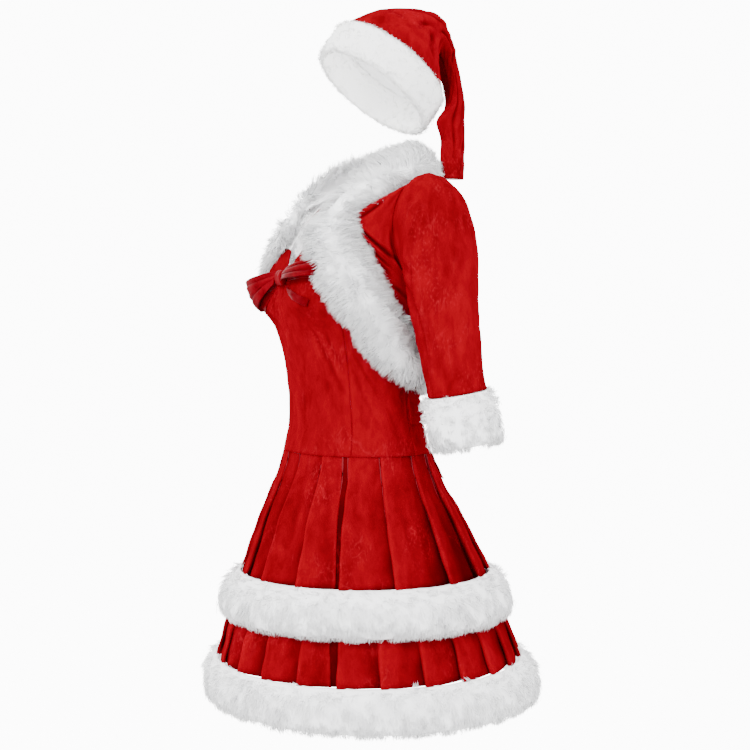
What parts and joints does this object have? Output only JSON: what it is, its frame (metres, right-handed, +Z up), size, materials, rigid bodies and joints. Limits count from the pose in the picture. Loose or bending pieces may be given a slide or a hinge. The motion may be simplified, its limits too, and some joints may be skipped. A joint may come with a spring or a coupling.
{
  "type": "christmas costume with hat",
  "caption": "Worn set: fitted velvet dress with a two-tier pleated skirt, cropped long-sleeved bolero with pile trim, and a folded hat with a plush brim.",
  "frame": {"origin": "on the vertical axis of the wearer's body at shoulder level, where the wearer's shoulders hold the costume up", "axes": "+Z up, the wearer faces -Y, the wearer's left is +X"},
  "size_m": [0.5522, 0.5492, 1.126],
  "materials": {
    "velvet": "crushed red stretch velvet, soft pile with pale creases",
    "bow_velvet": "red velvet ribbon with a slight gloss",
    "lining": "plain matt red lining",
    "fur": "long white faux fur pile",
    "plush": "short off-white plush"
  },
  "bodies": {
    "root": {"bodice_front": "velvet", "bodice_side_left": "velvet", "bodice_side_right": "velvet", "bodice_back": "velvet", "halter_strap_left": "velvet", "halter_strap_right": "velvet", "bow_loop_left": "bow_velvet", "bow_loop_right": "bow_velvet", "bow_tail_left": "bow_velvet", "bow_tail_right": "bow_velvet", "bow_knot": "bow_velvet", "sash_tie_left": "velvet", "sash_tie_right": "velvet", "sash_end_left": "velvet", "sash_end_right": "velvet", "sash_knot": "velvet", "skirt_upper": "velvet", "underskirt": "lining", "skirt_lower": "velvet", "fur_hem_upper": "fur", "fur_hem_lower": "fur", "fur_collar": "fur", "fur_band_left": "fur", "fur_band_right": "fur", "fur_band_back": "fur", "sleeve_left": "velvet", "sleeve_right": "velvet", "fur_cuff_left": "fur", "fur_cuff_right": "fur", "bolero_front_left": "velvet", "bolero_front_right": "velvet", "bolero_back": "velvet", "hat_crown": "velvet", "hat_band": "plush"}
  },
  "joints": []
}
